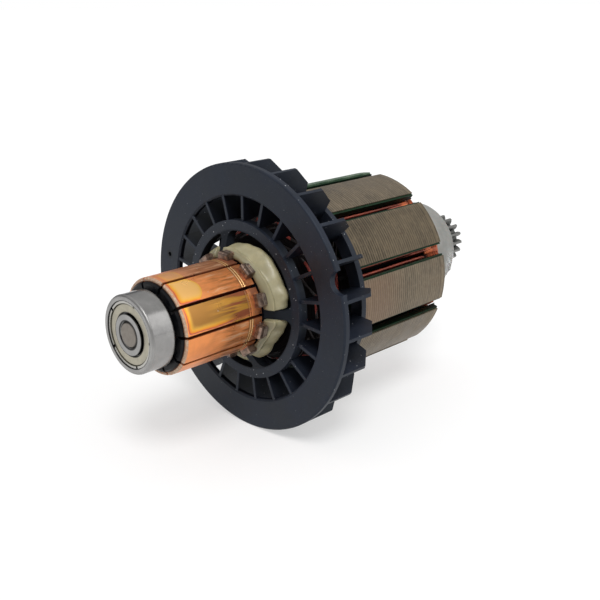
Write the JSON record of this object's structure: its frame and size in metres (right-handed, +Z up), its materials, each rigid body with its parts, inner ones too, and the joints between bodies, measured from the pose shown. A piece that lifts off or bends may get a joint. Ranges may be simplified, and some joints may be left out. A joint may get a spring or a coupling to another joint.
{
  "type": "motor armature",
  "caption": "Armature of a small brushed motor: shaft with ball bearing, copper commutator, cooling fan, wound laminated core, end collar and pinion.",
  "frame": {"origin": "on the shaft axis at the middle of the ball bearing's width, the bearing_seat mount", "axes": "+X along the shaft from the bearing towards the pinion, +Z up, the commutator slots at every 36 degrees from +Y"},
  "size_m": [0.0757, 0.0438, 0.0438],
  "materials": {
    "shaft_steel": "ground, dulled",
    "bearing_steel": "ground, satin",
    "shield_steel": "pressed sheet, satin",
    "cage_steel": "pressed sheet",
    "ball_steel": "polished",
    "black_moulding": "moulded",
    "commutator_copper": "turned, run in, heat tinted",
    "cream_resin": "glossy, flowed",
    "fan_plastic": "moulded, satin, dusty",
    "lamination_steel": "punched edges, turned, dulled",
    "end_lamination_steel": "punched edge, turned",
    "green_coat": "baked powder",
    "enamelled_wire": "enamel over copper",
    "collar_plastic": "moulded, rough rear edge",
    "pinion_steel": "cut teeth, satin"
  },
  "bodies": {
    "bearing_housing_side": {"bearing_outer_ring": "bearing_steel", "bearing_front_shield": "shield_steel", "bearing_rear_shield": "shield_steel"},
    "rotor": {"shaft": "shaft_steel", "bearing_inner_ring": "bearing_steel", "commutator_moulding": "black_moulding", "commutator_bar_1": "commutator_copper", "commutator_bar_2": "commutator_copper", "commutator_bar_3": "commutator_copper", "commutator_bar_4": "commutator_copper", "commutator_bar_5": "commutator_copper", "commutator_bar_6": "commutator_copper", "commutator_bar_7": "commutator_copper", "commutator_bar_8": "commutator_copper", "commutator_bar_9": "commutator_copper", "commutator_bar_10": "commutator_copper", "resin_bead_1": "cream_resin", "resin_bead_2": "cream_resin", "resin_bead_3": "cream_resin", "resin_bead_4": "cream_resin", "fan": "fan_plastic", "core_laminations": "lamination_steel", "rear_end_lamination": "end_lamination_steel", "core_insulation_coat": "green_coat", "armature_winding": "enamelled_wire", "end_collar": "collar_plastic", "pinion": "pinion_steel"},
    "cage_with_balls": {"bearing_cage": "cage_steel", "bearing_ball_1": "ball_steel", "bearing_ball_2": "ball_steel", "bearing_ball_3": "ball_steel", "bearing_ball_4": "ball_steel", "bearing_ball_5": "ball_steel", "bearing_ball_6": "ball_steel", "bearing_ball_7": "ball_steel"}
  },
  "joints": [
    {"name": "rotor_spin", "type": "hinge", "parent": "bearing_housing_side", "child": "rotor", "pos_m": [0, 0, 0], "axis": [1, 0, 0], "continuous": true},
    {"name": "cage_spin", "type": "hinge", "parent": "bearing_housing_side", "child": "cage_with_balls", "pos_m": [0, 0, 0], "axis": [1, 0, 0], "continuous": true}
  ],
  "couplings": [
    {"joint": "cage_spin", "follows": "rotor_spin", "ratio": 0.40075}
  ]
}
